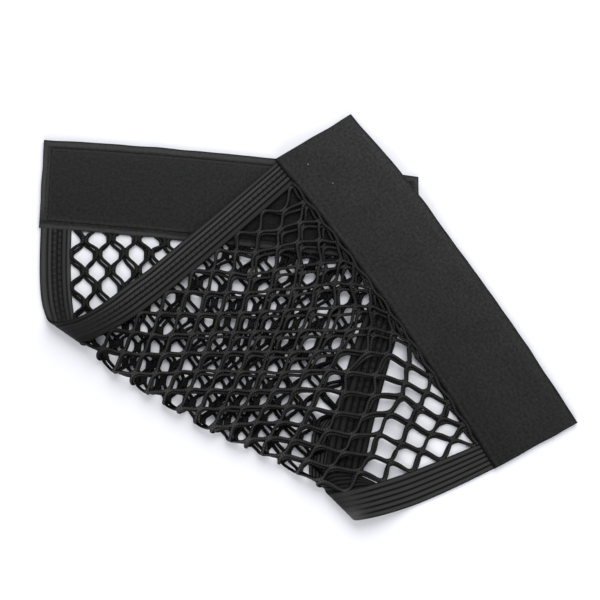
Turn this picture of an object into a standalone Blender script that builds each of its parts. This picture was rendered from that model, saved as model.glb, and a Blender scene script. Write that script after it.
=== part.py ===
"""Elastic cargo net, laid on a flat surface and folded once on the slant.

Two woven bands carry hook tape on their inner faces, two ribbed elastic
strips join the bands, and a diamond net fills the rectangle between them.
Flat places on the cloth are given as (across, along): across runs along the
bands from the left strip to the right one, and along runs from the far band
to the near band. Metres, +Z up, resting on z = 0.
"""
import math

import bmesh
import bpy
import numpy as np

MM = 0.001

# Flat sizes of the cut pieces
BAND_LENGTH = 250 * MM
BAND_WIDTH = 60 * MM
BAND_THICK = 1.6 * MM
TAPE_LENGTH = 240 * MM
TAPE_WIDTH = 50 * MM
TAPE_THICK = 1.2 * MM
STRIP_WIDTH = 20 * MM
STRIP_THICK = 1.5 * MM
STRIP_RIBS = 6
RIB_HEIGHT = 0.25 * MM
STRIP_STEP = 11.5 * MM
STRIP_BEND = 18 * MM
STRIP_BEND_CUTS = 10
NET_RUN = 266 * MM
GAP = 0.3 * MM
SIDE_GAP = 0.8 * MM

# The diamond net
NET_COLUMNS = 11
NET_HALF_ROWS = 23
FIRST_KNOT = 7 * MM
CORD_WIDTH = 2.2 * MM
CORD_THICK = 1.8 * MM
KNOT_LENGTH = 5.2 * MM
KNOT_RISE = 0.25 * MM
FAR_CROWDING = 2.8 * MM
FOLD_CUTS = 5
FOLD_REACH = 15 * MM

# Middle of the folded outline, taken off every plan position
CENTRE_X = 1.84 * MM
CENTRE_Y = -8.36 * MM

# How the bands lie, seen from above
FAR_CORNER = (-171.4 * MM, 110.1 * MM)
FAR_ALONG = math.radians(-6.0)
FAR_ACROSS = math.radians(-90.5)
FAR_BOW = 3.0 * MM
NEAR_CORNER = (35.8 * MM, 127.0 * MM)
NEAR_ALONG = math.radians(-56.0)
NEAR_END_TURNS = (math.radians(213.4), math.radians(208.6))
NEAR_BOW = 4.6 * MM

# How far the loose net bellies out at the fold, past the strips
FOLD_BELLY = 3.1 * MM

# Lines of the cloth from band to band: across is the distance from the left
# edge, x and y are where the line goes round the fold, lean is how far it
# slides along the fold for each length that it goes round, radius is the
# radius of the fold, sweep is how soon the upper part straightens, and
# straight is how far the lower part keeps square to the far band
FOLD_LINES = (
    dict(across=0, x=-162.7, y=-17.5, lean=1.35, radius=5.4, sweep=24, straight=1.0),
    dict(across=20, x=-141.5, y=-31.0, lean=0.90, radius=4.6, sweep=24, straight=1.0),
    dict(across=125, x=-62.0, y=-80.0, lean=0.48, radius=3.4, sweep=40, straight=0.4),
    dict(across=230, x=15.5, y=-124.5, lean=0.75, radius=3.6, sweep=24, straight=0.0),
    dict(across=250, x=33.7, y=-142.6, lean=0.72, radius=4.2, sweep=26, straight=0.0),
)

# Where the loose net is pulled over, as soft areas of the flat net: slide is
# towards the right strip and draw is towards the near band
NET_PULLS = (
    dict(left=20, right=168, start=212, full=262, slide=-9.0, draw=0.0),
    dict(left=150, right=234, start=150, full=205, slide=6.5, draw=0.0),
    dict(left=40, right=226, start=186, full=225, slide=0.0, draw=6.5),
    dict(left=20, right=110, start=0, full=30, slide=0.0, draw=-3.0),
)

# Height of the lower layer under the upper one, the line past which it ends, and
# how soon the upper layer comes down there and behind the fold
REST_HEIGHT = 3.4 * MM
REST_EDGE = ((84 * MM, 84 * MM), (40 * MM, -142 * MM))
REST_FALL = 30 * MM
FOLD_FALL = 38 * MM

WOVEN_COLOUR = (0.034, 0.034, 0.033)
TAPE_COLOUR = (0.022, 0.022, 0.022)
ELASTIC_COLOUR = (0.030, 0.030, 0.031)
NET_COLOUR = (0.024, 0.024, 0.023)

# How finely the cloth's lines are worked out
LINE_STEPS = 126
RUN_STEPS = 541
LOWER_STEPS = 60
BEND_STEPS = 49
UPPER_STEPS = 160

# Shares of the lower part's length at which its curve is steered
SLANT_HANDLE = 0.40
SQUARE_HANDLE = 0.78


def table_column(name):
    """One column of FOLD_LINES, lengths in metres."""
    scale = 1.0 if name in ("lean", "straight") else MM
    return np.array([row[name] * scale for row in FOLD_LINES])


def smooth_table(across, name):
    """Read a column between its rows on a smooth curve."""
    x = table_column("across")
    y = table_column(name)
    slope = np.gradient(y, x)
    k = np.clip(np.searchsorted(x, across) - 1, 0, len(x) - 2)
    width = x[k + 1] - x[k]
    t = (across - x[k]) / width
    return ((1 + 2 * t) * (1 - t) ** 2 * y[k] + t * (1 - t) ** 2 * width * slope[k]
            + t * t * (3 - 2 * t) * y[k + 1] - t * t * (1 - t) * width * slope[k + 1])


def ease(t):
    """0 to 1 with level ends."""
    t = np.clip(t, 0, 1)
    return t * t * (3 - 2 * t)


def far_band(across, depth):
    """Plan place on the far band, depth from its outer edge."""
    bow = FAR_BOW * 4 * across / BAND_LENGTH * (1 - across / BAND_LENGTH)
    bow = bow * (1 - 0.6 * depth / BAND_WIDTH)
    x = FAR_CORNER[0] + across * math.cos(FAR_ALONG) + depth * math.cos(FAR_ACROSS)
    y = FAR_CORNER[1] + across * math.sin(FAR_ALONG) + depth * math.sin(FAR_ACROSS) + bow
    return x, y


def near_band(across, depth):
    """Plan place on the near band, depth from its outer edge."""
    share = across / BAND_LENGTH
    turn = NEAR_END_TURNS[0] + (NEAR_END_TURNS[1] - NEAR_END_TURNS[0]) * share
    bow = NEAR_BOW * 4 * share * (1 - share)
    x = NEAR_CORNER[0] + across * math.cos(NEAR_ALONG) + depth * np.cos(turn)
    y = NEAR_CORNER[1] + across * math.sin(NEAR_ALONG) + depth * np.sin(turn)
    return x - bow * math.sin(NEAR_ALONG), y + bow * math.cos(NEAR_ALONG)


def rest_height(x, y):
    """Height of what the upper layer lies on."""
    (x0, y0), (x1, y1) = REST_EDGE
    length = math.hypot(x1 - x0, y1 - y0)
    beyond = ((y0 - y1) * (x - x0) + (x1 - x0) * (y - y0)) / length
    top = (y - FAR_CORNER[1] - FAR_BOW) * math.cos(FAR_ALONG) - (x - FAR_CORNER[0]) * math.sin(FAR_ALONG)
    away = np.hypot(np.maximum(beyond, 0), np.maximum(top, 0))
    return REST_HEIGHT * (1 - ease(away / REST_FALL))


def bend_line(start, handle, end, steps):
    """Quadratic curve in plan, as rows of x and y."""
    t = np.linspace(0, 1, steps)[:, None]
    return (1 - t) ** 2 * np.array(start) + 2 * t * (1 - t) * np.array(handle) + t * t * np.array(end)


def fold_line(across):
    """One line of cloth from band to band: even steps of x, y and height."""
    centre = np.array([smooth_table(across, "x"), smooth_table(across, "y")])
    ahead = np.array([smooth_table(across + MM, "x"), smooth_table(across + MM, "y")])
    along = (ahead - centre) / np.linalg.norm(ahead - centre)
    outward = np.array([along[1], -along[0]])
    share = (across - STRIP_WIDTH) / (BAND_LENGTH - 2 * STRIP_WIDTH)
    centre = centre + outward * FOLD_BELLY * ease(7 * min(share, 1 - share))
    lean = smooth_table(across, "lean")
    radius = smooth_table(across, "radius")
    sweep = smooth_table(across, "sweep")

    turn = np.linspace(0, math.pi, BEND_STEPS)
    bend = (centre + np.outer((turn - math.pi / 2) * radius * lean, along)
            + np.outer((np.sin(turn) - 1) * radius, outward))
    start_way = (lean * along + outward) / math.hypot(lean, 1)
    end_way = (lean * along - outward) / math.hypot(lean, 1)

    far = np.array(far_band(across, BAND_WIDTH))
    near = np.array(near_band(across, BAND_WIDTH))
    reach = np.linalg.norm(bend[0] - far)
    slanted = bend[0] - start_way * SLANT_HANDLE * reach
    square = far - [0, SQUARE_HANDLE * reach]
    straight = smooth_table(across, "straight")
    lower = bend_line(far, straight * square + (1 - straight) * slanted, bend[0], LOWER_STEPS)
    upper = bend_line(bend[-1], bend[-1] + end_way * sweep, near, UPPER_STEPS)

    plan = np.vstack([lower, bend[1:], upper[1:]])
    away = np.linalg.norm(np.diff(upper, axis=0), axis=1).cumsum()
    rest = rest_height(upper[1:, 0], upper[1:, 1])
    drop = rest + (2 * radius - rest) * (1 - ease(away / FOLD_FALL))
    height = np.concatenate([np.zeros(LOWER_STEPS), radius * (1 - np.cos(turn[1:])), drop])
    points = np.column_stack([plan, height])
    run = np.concatenate([[0], np.linalg.norm(np.diff(points, axis=0), axis=1).cumsum()])
    even = np.linspace(0, run[-1], RUN_STEPS)
    return np.column_stack([np.interp(even, run, points[:, i]) for i in range(3)])


CLOTH = np.array([fold_line(across) for across in np.linspace(0, BAND_LENGTH, LINE_STEPS)])


def place(across, along):
    """Folded place of a flat point between the bands, on the cloth's lower skin."""
    a = np.clip(np.asarray(across) / BAND_LENGTH, 0, 1) * (LINE_STEPS - 1)
    b = np.clip(np.asarray(along) / NET_RUN, 0, 1) * (RUN_STEPS - 1)
    i = np.minimum(a.astype(int), LINE_STEPS - 2)
    j = np.minimum(b.astype(int), RUN_STEPS - 2)
    s = (a - i)[..., None]
    t = (b - j)[..., None]
    return ((1 - s) * (1 - t) * CLOTH[i, j] + s * (1 - t) * CLOTH[i + 1, j]
            + (1 - s) * t * CLOTH[i, j + 1] + s * t * CLOTH[i + 1, j + 1])


def offset_place(across, along, lift, rise):
    """A point on the cloth's middle, raised towards its inner face."""
    across = np.asarray(across, dtype=float)
    along = np.asarray(along, dtype=float)
    reach = 1.5 * MM
    side = place(across + reach, along) - place(across - reach, along)
    ahead = place(across, along + reach) - place(across, along - reach)
    normal = np.cross(ahead, side)
    normal = normal / np.linalg.norm(normal, axis=-1, keepdims=True)
    point = place(across, along) + normal * np.asarray(rise)[..., None]
    point[..., 2] += lift
    return point


def crossing(across):
    """Where a line of cloth goes round the fold, as a distance along it."""
    i = int(round(across / BAND_LENGTH * (LINE_STEPS - 1)))
    height = CLOTH[i, :, 2]
    return float(np.argmax(height > height.max() / 2)) / (RUN_STEPS - 1) * NET_RUN


def add_object(name, bm, colour, roughness):
    """Turn a bmesh into a named object with its own material."""
    bmesh.ops.recalc_face_normals(bm, faces=bm.faces)
    for vert in bm.verts:
        vert.co.x -= CENTRE_X
        vert.co.y -= CENTRE_Y
    mesh = bpy.data.meshes.new(name)
    bm.to_mesh(mesh)
    bm.free()
    obj = bpy.data.objects.new(name, mesh)
    bpy.context.collection.objects.link(obj)
    material = bpy.data.materials.new(name)
    material.use_nodes = True
    shader = material.node_tree.nodes["Principled BSDF"]
    shader.inputs["Base Color"].default_value = (*colour, 1)
    shader.inputs["Roughness"].default_value = roughness
    shader.inputs["Metallic"].default_value = 0.0
    mesh.materials.append(material)
    mesh.shade_smooth()
    mesh.set_sharp_from_angle(angle=math.radians(40))
    return obj


def skin_grids(top, bottom):
    """Close two matching grids of points into one sheet."""
    bm = bmesh.new()
    skins = [[[bm.verts.new(point) for point in row] for row in grid] for grid in (top, bottom)]
    upper, lower = skins
    rows = len(upper)
    columns = len(upper[0])
    for i in range(rows - 1):
        for j in range(columns - 1):
            for skin in skins:
                bm.faces.new((skin[i][j], skin[i + 1][j], skin[i + 1][j + 1], skin[i][j + 1]))
    rim = [(i, 0) for i in range(rows)]
    rim += [(rows - 1, j) for j in range(1, columns)]
    rim += [(i, columns - 1) for i in range(rows - 2, -1, -1)]
    rim += [(0, j) for j in range(columns - 2, 0, -1)]
    for (i, j), (k, m) in zip(rim, rim[1:] + rim[:1]):
        bm.faces.new((upper[i][j], upper[k][m], lower[k][m], lower[i][j]))
    return bm


def band_sheet(name, lay, size, floor, steps, colour, roughness):
    """A flat woven piece laid on a band's plan, its underside at a given height."""
    length, width, thick = size
    start = (BAND_LENGTH - length) / 2
    edge = (BAND_WIDTH - width) / 2
    across = start + length * np.linspace(0, 1, steps[0] + 1)[:, None]
    depth = edge + width * np.linspace(0, 1, steps[1] + 1)[None, :]
    x, y = lay(across + 0 * depth, depth + 0 * across)
    low = floor(x, y)
    bottom = np.stack([x, y, low], axis=-1)
    top = np.stack([x, y, low + thick], axis=-1)
    return add_object(name, skin_grids(top, bottom), colour, roughness)


def elastic_strip(name, edge):
    """A ribbed strip between the bands, its outer edge first."""
    fold = crossing(edge + STRIP_WIDTH / 2)
    before = fold - STRIP_BEND / 2
    after = fold + STRIP_BEND / 2
    end = NET_RUN - GAP
    along = np.concatenate([
        np.linspace(GAP, before, round(before / STRIP_STEP)),
        np.linspace(before, after, STRIP_BEND_CUTS)[1:-1],
        np.linspace(after, end, round((end - after) / STRIP_STEP)),
    ])
    points = 2 * STRIP_RIBS + 1
    across = edge + STRIP_WIDTH * np.linspace(0, 1, points)
    rib = RIB_HEIGHT * (np.arange(points) % 2)
    rise = STRIP_THICK / 2 + rib[None, :] + 0 * along[:, None]
    a = across[None, :] + 0 * along[:, None]
    b = along[:, None] + 0 * across[None, :]
    lift = STRIP_THICK / 2 + RIB_HEIGHT
    inner = offset_place(a, b, lift, rise)
    outer = offset_place(a, b, lift, -rise)
    return add_object(name, skin_grids(inner, outer), ELASTIC_COLOUR, 0.55)


def pulled(across, along):
    """Where a flat point of the loose net is pulled to."""
    share = (across - STRIP_WIDTH) / (BAND_LENGTH - 2 * STRIP_WIDTH)
    held = ease(10 * min(share, 1 - share))
    crowd = 1 - ease(along / (0.4 * NET_RUN))
    slide = -FAR_CROWDING * math.sin(2 * math.pi * share) * crowd
    draw = 0.0
    for pull in NET_PULLS:
        wide = (across / MM - pull["left"]) / (pull["right"] - pull["left"])
        deep = (along / MM - pull["start"]) / (pull["full"] - pull["start"])
        if 0 < wide < 1:
            hump = math.sin(math.pi * wide)
            slide += pull["slide"] * MM * hump * ease(deep)
            fade = min(1, (NET_RUN - along) / (20 * MM), along / (10 * MM))
            draw += pull["draw"] * MM * hump * ease(deep if deep < 1 else 2.2 - deep) * fade
    return across + held * slide, along + draw


class Net:
    """The diamond net as one sheet: a hexagon for each knot, a leg for each side of a mesh."""

    def __init__(self):
        self.bm = bmesh.new()
        self.last_column = 2 * NET_COLUMNS
        self.half_column = (BAND_LENGTH - 2 * STRIP_WIDTH) / self.last_column
        self.half_row = (NET_RUN - 1.5 * FIRST_KNOT) / NET_HALF_ROWS
        self.slope = self.half_column / self.half_row
        self.flank = 0.5 * CORD_WIDTH * math.hypot(1, self.slope)
        self.tip = KNOT_LENGTH / 2 + 0.6 * CORD_WIDTH
        self.side = KNOT_LENGTH / 2 - 0.6 * CORD_WIDTH
        self.knots = {}
        for row in range(NET_HALF_ROWS + 1):
            for column in range(1 - row % 2, self.last_column + 1, 2):
                flat = (STRIP_WIDTH + column * self.half_column, FIRST_KNOT + row * self.half_row)
                self.knots[column, row] = pulled(*flat)
        self.corners = {spot: self.knot_corners(*spot) for spot in self.knots}

    def pair(self, across, along):
        """One point on each skin."""
        skins = offset_place([across, across], [along, along], CORD_THICK / 2 + KNOT_RISE,
                             [CORD_THICK / 2, -CORD_THICK / 2])
        return [self.bm.verts.new(point) for point in skins]

    def wall(self, start, end):
        """A side face from one pair to the next."""
        self.bm.faces.new((start[0], end[0], end[1], start[1]))

    def knot_corners(self, column, row):
        """The pairs round a knot, by name; the knots at the strips are cut in half."""
        across, along = self.knots[column, row]
        left = across - self.flank
        right = across + self.flank
        if column == 0:
            across = across + SIDE_GAP
        if column == self.last_column:
            across = across - SIDE_GAP
        corners = dict(
            top=self.pair(across, along - self.tip),
            bottom=self.pair(across, along + self.tip),
        )
        if column > 0:
            corners["left_top"] = self.pair(left, along - self.side)
            corners["left_bottom"] = self.pair(left, along + self.side)
        if column < self.last_column:
            corners["right_top"] = self.pair(right, along - self.side)
            corners["right_bottom"] = self.pair(right, along + self.side)
        return corners

    def knot(self, column, row):
        """A knot's raised skins and its free sides."""
        across, along = self.knots[column, row]
        corners = self.corners[column, row]
        names = ("top", "right_top", "right_bottom", "bottom", "left_bottom", "left_top")
        ring = [corners[name] for name in names if name in corners]
        middle = across
        if column == 0:
            middle = across + (SIDE_GAP + self.flank) / 2
        if column == self.last_column:
            middle = across - (SIDE_GAP + self.flank) / 2
        for skin, way in ((0, 1), (1, -1)):
            rise = way * (CORD_THICK / 2 + KNOT_RISE)
            centre = self.bm.verts.new(offset_place(middle, along, CORD_THICK / 2 + KNOT_RISE, rise))
            for start, end in zip(ring, ring[1:] + ring[:1]):
                self.bm.faces.new((start[skin], end[skin], centre))
        if column > 0:
            self.wall(corners["left_top"], corners["left_bottom"])
        if column < self.last_column:
            self.wall(corners["right_top"], corners["right_bottom"])
        if column in (0, self.last_column):
            self.wall(corners["bottom"], corners["top"])

    def join(self, rows):
        """A leg through matching rows of two pairs each."""
        for previous, current in zip(rows, rows[1:]):
            for skin in (0, 1):
                self.bm.faces.new((previous[0][skin], current[0][skin],
                                   current[1][skin], previous[1][skin]))
            for side in (0, 1):
                self.wall(previous[side], current[side])

    def leg(self, spot, way):
        """The leg from a knot to the next row's knot on one side, cut up where it folds."""
        other = (spot[0] + way, spot[1] + 1)
        if other not in self.knots:
            return
        key, back = ("right", "left") if way > 0 else ("left", "right")
        across, along = self.knots[spot]
        end_across, end_along = self.knots[other]
        middle = ((across + end_across) / 2, (along + end_along) / 2)
        cuts = FOLD_CUTS if abs(middle[1] - crossing(middle[0])) < FOLD_REACH else 1
        edges = (
            ((across, along + self.tip), (end_across - way * self.flank, end_along - self.side)),
            ((across + way * self.flank, along + self.side), (end_across, end_along - self.tip)),
        )
        rows = [[self.corners[spot]["bottom"], self.corners[spot][key + "_bottom"]]]
        for cut in range(1, cuts):
            t = cut / cuts
            rows.append([self.pair((1 - t) * a + t * c, (1 - t) * b + t * d)
                         for (a, b), (c, d) in edges])
        rows.append([self.corners[other][back + "_top"], self.corners[other]["top"]])
        self.join(rows)

    def feet(self, spot, name, edge):
        """The two short legs from an end knot to its band."""
        column = spot[0]
        across, along = self.knots[spot]
        slide = (abs(edge - along) - KNOT_LENGTH / 2) * self.slope
        for way, key in ((1, "right"), (-1, "left")):
            if 0 <= column + way <= self.last_column:
                foot = [self.pair(across + way * (slide - 0.2 * self.flank), edge),
                        self.pair(across + way * (slide + 1.4 * self.flank), edge)]
                corners = self.corners[spot]
                self.join([[corners[name], corners[key + "_" + name]], foot])
                self.wall(foot[0], foot[1])


def net_panel():
    net = Net()
    for spot in net.knots:
        net.knot(*spot)
        net.leg(spot, 1)
        net.leg(spot, -1)
        if spot[1] == 0:
            net.feet(spot, "top", GAP)
        if spot[1] == NET_HALF_ROWS:
            net.feet(spot, "bottom", NET_RUN - GAP)
    return add_object("net_panel", net.bm, NET_COLOUR, 0.65)


def on_surface(x, y):
    return 0 * x


def on_far_band(x, y):
    return 0 * x + BAND_THICK + GAP


def on_near_tape(x, y):
    return rest_height(x, y) + TAPE_THICK + GAP


def build():
    for obj in list(bpy.data.objects):
        bpy.data.objects.remove(obj, do_unlink=True)
    band = (BAND_LENGTH, BAND_WIDTH, BAND_THICK)
    tape = (TAPE_LENGTH, TAPE_WIDTH, TAPE_THICK)
    band_sheet("band_far", far_band, band, on_surface, (12, 4), WOVEN_COLOUR, 0.70)
    band_sheet("hook_tape_far", far_band, tape, on_far_band, (12, 3), TAPE_COLOUR, 0.85)
    band_sheet("hook_tape_near", near_band, tape, rest_height, (20, 4), TAPE_COLOUR, 0.85)
    band_sheet("band_near", near_band, band, on_near_tape, (20, 6), WOVEN_COLOUR, 0.70)
    elastic_strip("elastic_strip_left", 0)
    elastic_strip("elastic_strip_right", BAND_LENGTH - STRIP_WIDTH)
    net_panel()


build()
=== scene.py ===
import math

import bpy
import numpy as np
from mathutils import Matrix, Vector, noise


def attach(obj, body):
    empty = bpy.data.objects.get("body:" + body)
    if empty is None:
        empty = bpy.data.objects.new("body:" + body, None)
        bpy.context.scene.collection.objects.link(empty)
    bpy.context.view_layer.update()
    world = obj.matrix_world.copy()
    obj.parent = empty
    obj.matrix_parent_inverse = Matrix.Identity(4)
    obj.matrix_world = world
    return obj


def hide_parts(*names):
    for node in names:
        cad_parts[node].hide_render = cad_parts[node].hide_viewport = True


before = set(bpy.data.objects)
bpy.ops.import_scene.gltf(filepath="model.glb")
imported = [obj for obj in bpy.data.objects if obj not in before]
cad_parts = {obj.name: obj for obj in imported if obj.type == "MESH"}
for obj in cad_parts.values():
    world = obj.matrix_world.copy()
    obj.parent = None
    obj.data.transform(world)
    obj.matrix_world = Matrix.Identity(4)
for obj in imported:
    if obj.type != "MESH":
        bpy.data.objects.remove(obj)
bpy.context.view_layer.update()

# All shapes here are worked out in millimetres and turned into metres when a mesh is made.
# Flat places are (across, along): across runs along the bands from the left strip to the
# right one, along runs from the far band to the near band.


# the flat sizes, where the bands lie on the plan, and how the upper layer comes to rest
layPlan = dict(
    bandLength=250, bandWidth=60, stripWidth=20, netRun=266,
    centre=(1.84, -8.36),  # taken off every plan position
    # each band's first corner, which way it runs and turns inwards, and how far it bows
    farCorner=(-171.4, 110.1), farAlong=-6.0, farAcross=-90.5, farBow=3.0,
    nearCorner=(35.8, 127.0), nearAlong=-56.0, nearTurns=(213.4, 208.6), nearBow=4.6,
    # how far the fold bellies out, and how the lower layer's lines leave the far band
    belly=3.1, slantHandle=0.40, squareHandle=0.78,
    # how high the upper layer rests, and past which line it comes down to the floor
    restHeight=3.4, restEdge=((84, 84), (40, -142)), restFall=30, foldFall=38,
    # how many lines are worked out, and the points along each
    lines=251, lowerSteps=120, bendSteps=97, upperSteps=320, runSteps=1065,
)

# lines of the cloth from band to band, and where and how each goes round the fold
foldLines = (
    dict(across=0, x=-161.6, y=-15.8, lean=1.35, radius=5.4, sweep=24, straight=1.0),
    dict(across=20, x=-140.9, y=-30.0, lean=0.90, radius=4.6, sweep=24, straight=1.0),
    dict(across=125, x=-62.0, y=-80.0, lean=0.48, radius=3.4, sweep=40, straight=0.4),
    dict(across=230, x=15.5, y=-124.5, lean=0.75, radius=3.6, sweep=24, straight=0.0),
    dict(across=250, x=33.7, y=-142.6, lean=0.72, radius=4.2, sweep=26, straight=0.0),
)


def ease(t):
    t = np.clip(t, 0, 1)
    return t * t * (3 - 2 * t)


def blend(first, second, share):
    return first + (second - first) * share


def dimmed(amount, share):
    return 1 - (1 - amount) * share


def between(value, span):
    # 0 before the span and 1 after it, soft inside it
    return ease((value - span[0]) / (span[1] - span[0]))


def readTable(rows, along):
    # each column of a table whose first column is the flat distance from the far band
    places, *columns = np.array(rows, float).T
    return [np.interp(along, places, column) for column in columns]


def readFold(across, name):
    # a smooth curve through the fold lines' values
    x = np.array([row["across"] for row in foldLines], float)
    y = np.array([row[name] for row in foldLines], float)
    slope = np.gradient(y, x)
    k = int(np.clip(np.searchsorted(x, across) - 1, 0, len(x) - 2))
    width = x[k + 1] - x[k]
    t = (across - x[k]) / width
    return ((1 + 2 * t) * (1 - t) ** 2 * y[k] + t * (1 - t) ** 2 * width * slope[k]
            + t * t * (3 - 2 * t) * y[k + 1] - t * t * (1 - t) * width * slope[k + 1])


def farBand(across, depth):
    lay = layPlan
    along, down = math.radians(lay["farAlong"]), math.radians(lay["farAcross"])
    share = across / lay["bandLength"]
    bow = lay["farBow"] * 4 * share * (1 - share) * (1 - 0.6 * depth / lay["bandWidth"])
    x = lay["farCorner"][0] + across * math.cos(along) + depth * math.cos(down)
    y = lay["farCorner"][1] + across * math.sin(along) + depth * math.sin(down) + bow
    return x, y


def nearBand(across, depth):
    lay = layPlan
    along = math.radians(lay["nearAlong"])
    share = across / lay["bandLength"]
    first, last = lay["nearTurns"]
    turn = np.radians(first + (last - first) * share)
    bow = lay["nearBow"] * 4 * share * (1 - share)
    x = lay["nearCorner"][0] + across * math.cos(along) + depth * np.cos(turn)
    y = lay["nearCorner"][1] + across * math.sin(along) + depth * np.sin(turn)
    return x - bow * math.sin(along), y + bow * math.cos(along)


def restHeight(x, y):
    # the upper layer lies on the lower one, and comes down to the floor beyond it
    lay = layPlan
    (x0, y0), (x1, y1) = lay["restEdge"]
    beyond = ((y0 - y1) * (x - x0) + (x1 - x0) * (y - y0)) / math.hypot(x1 - x0, y1 - y0)
    turn = math.radians(lay["farAlong"])
    top = (y - lay["farCorner"][1] - lay["farBow"]) * math.cos(turn)
    top = top - (x - lay["farCorner"][0]) * math.sin(turn)
    away = np.hypot(np.maximum(beyond, 0), np.maximum(top, 0))
    return lay["restHeight"] * (1 - ease(away / lay["restFall"]))


def bendLine(start, handle, end, steps):
    t = np.linspace(0, 1, steps)[:, None]
    return (1 - t) ** 2 * start + 2 * t * (1 - t) * handle + t * t * end


def foldLine(across):
    # a line of the cloth in even steps, and how far along it the fold is
    lay = layPlan
    lowerSteps = lay["lowerSteps"]
    centre = np.array([readFold(across, "x"), readFold(across, "y")])
    ahead = np.array([readFold(across + 1, "x"), readFold(across + 1, "y")])
    along = (ahead - centre) / np.linalg.norm(ahead - centre)
    outward = np.array([along[1], -along[0]])
    share = (across - lay["stripWidth"]) / (lay["bandLength"] - 2 * lay["stripWidth"])
    centre = centre + outward * lay["belly"] * ease(7 * min(share, 1 - share))
    lean, radius, sweep = (readFold(across, name) for name in ("lean", "radius", "sweep"))
    turn = np.linspace(0, math.pi, lay["bendSteps"])
    bend = (centre + np.outer((turn - math.pi / 2) * radius * lean, along)
            + np.outer((np.sin(turn) - 1) * radius, outward))
    startWay = (lean * along + outward) / math.hypot(lean, 1)
    endWay = (lean * along - outward) / math.hypot(lean, 1)
    far = np.array(farBand(across, lay["bandWidth"]))
    near = np.array(nearBand(across, lay["bandWidth"]))
    reach = np.linalg.norm(bend[0] - far)
    slanted = bend[0] - startWay * lay["slantHandle"] * reach
    square = far - [0, lay["squareHandle"] * reach]
    straight = readFold(across, "straight")
    lower = bendLine(far, straight * square + (1 - straight) * slanted, bend[0], lowerSteps)
    upper = bendLine(bend[-1], bend[-1] + endWay * sweep, near, lay["upperSteps"])
    away = np.linalg.norm(np.diff(upper, axis=0), axis=1).cumsum()
    rest = restHeight(upper[1:, 0], upper[1:, 1])
    drop = rest + (2 * radius - rest) * (1 - ease(away / lay["foldFall"]))
    height = np.concatenate([np.zeros(lowerSteps), radius * (1 - np.cos(turn[1:])), drop])
    points = np.column_stack([np.vstack([lower, bend[1:], upper[1:]]), height])
    run = np.concatenate([[0], np.linalg.norm(np.diff(points, axis=0), axis=1).cumsum()])
    even = np.linspace(0, run[-1], lay["runSteps"])
    turnPlace = run[lowerSteps - 1 + lay["bendSteps"] // 2] / run[-1] * lay["netRun"]
    return np.column_stack([np.interp(even, run, points[:, i]) for i in range(3)]), turnPlace


print("scene: working out how the cloth lies")
lineAcross = np.linspace(0, layPlan["bandLength"], layPlan["lines"])
clothLines, foldPlaces = zip(*(foldLine(a) for a in lineAcross))
clothLines = np.array(clothLines)


def place(across, along):
    # where a flat place lies
    a = np.clip(across / layPlan["bandLength"], 0, 1) * (layPlan["lines"] - 1)
    b = np.clip(along / layPlan["netRun"], 0, 1) * (layPlan["runSteps"] - 1)
    i = np.minimum(a.astype(int), layPlan["lines"] - 2)
    j = np.minimum(b.astype(int), layPlan["runSteps"] - 2)
    s, t = (a - i)[..., None], (b - j)[..., None]
    return ((1 - s) * (1 - t) * clothLines[i, j] + s * (1 - t) * clothLines[i + 1, j]
            + (1 - s) * t * clothLines[i, j + 1] + s * t * clothLines[i + 1, j + 1])


def overShare(across, along, reach=9):
    # 0 in the layer below the fold, 1 in the layer above it
    return ease((along - np.interp(across, lineAcross, foldPlaces)) / (2 * reach) + 0.5)


# the upper layer's far edge on the plan: the left strip's, then the near band's
overEdge = np.concatenate([
    place(np.zeros(60), np.linspace(foldPlaces[0] + 8, layPlan["netRun"], 60))[:, :2],
    np.stack(nearBand(np.linspace(0, layPlan["bandLength"], 40), 0), axis=-1),
])


def coveredShare(x, y, reach=6):
    # 1 where the upper layer lies over a place on the plan
    return ease((np.interp(x, overEdge[:, 0], overEdge[:, 1]) - y) / reach)


def onCloth(across, along, lift, rise):
    # a point on the cloth's middle raised towards its inner face, and the way that face looks
    across, along = np.broadcast_arrays(np.asarray(across, float), np.asarray(along, float))
    beyond = across - np.clip(across, 0, layPlan["bandLength"])
    across = across - beyond
    inside = np.clip(along, 0, layPlan["netRun"])
    step = 1.5
    side = place(across + step, inside) - place(across - step, inside)
    ahead = place(across, inside + step) - place(across, inside - step)
    normal = np.cross(ahead, side)
    normal /= np.linalg.norm(normal, axis=-1, keepdims=True)
    ahead /= np.linalg.norm(ahead, axis=-1, keepdims=True)
    point = place(across, inside) + normal * np.asarray(rise)[..., None]
    point = point + ahead * (along - inside)[..., None]
    point = point + side / np.linalg.norm(side, axis=-1, keepdims=True) * beyond[..., None]
    point[..., 2] += lift
    return point, normal


def wander(across, along, size, seed):
    # a slow, even drift between -1 and 1
    flat = np.broadcast_arrays(np.asarray(across, float), np.asarray(along, float))
    out = np.empty(flat[0].shape)
    for spot in np.ndindex(out.shape):
        out[spot] = noise.noise(Vector((flat[0][spot] / size, flat[1][spot] / size, seed)))
    return out * 1.8


def makePiece(name, points, faces, flat, material, onCorners=False):
    # points in millimetres on the plan; flat holds the places that the materials read
    mesh = bpy.data.meshes.new(name)
    points = np.asarray(points, float)
    points = points - [layPlan["centre"][0], layPlan["centre"][1], 0]
    mesh.from_pydata((points * 0.001).tolist(), [], faces)
    places = mesh.attributes.new("flat", "FLOAT_VECTOR", "CORNER" if onCorners else "POINT")
    places.data.foreach_set("vector", np.asarray(flat, np.float32).ravel())
    mesh.shade_smooth()
    mesh.materials.append(material)
    mesh.update()
    piece = bpy.data.objects.new(name, mesh)
    bpy.context.collection.objects.link(piece)
    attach(piece, "root")
    return piece


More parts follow.
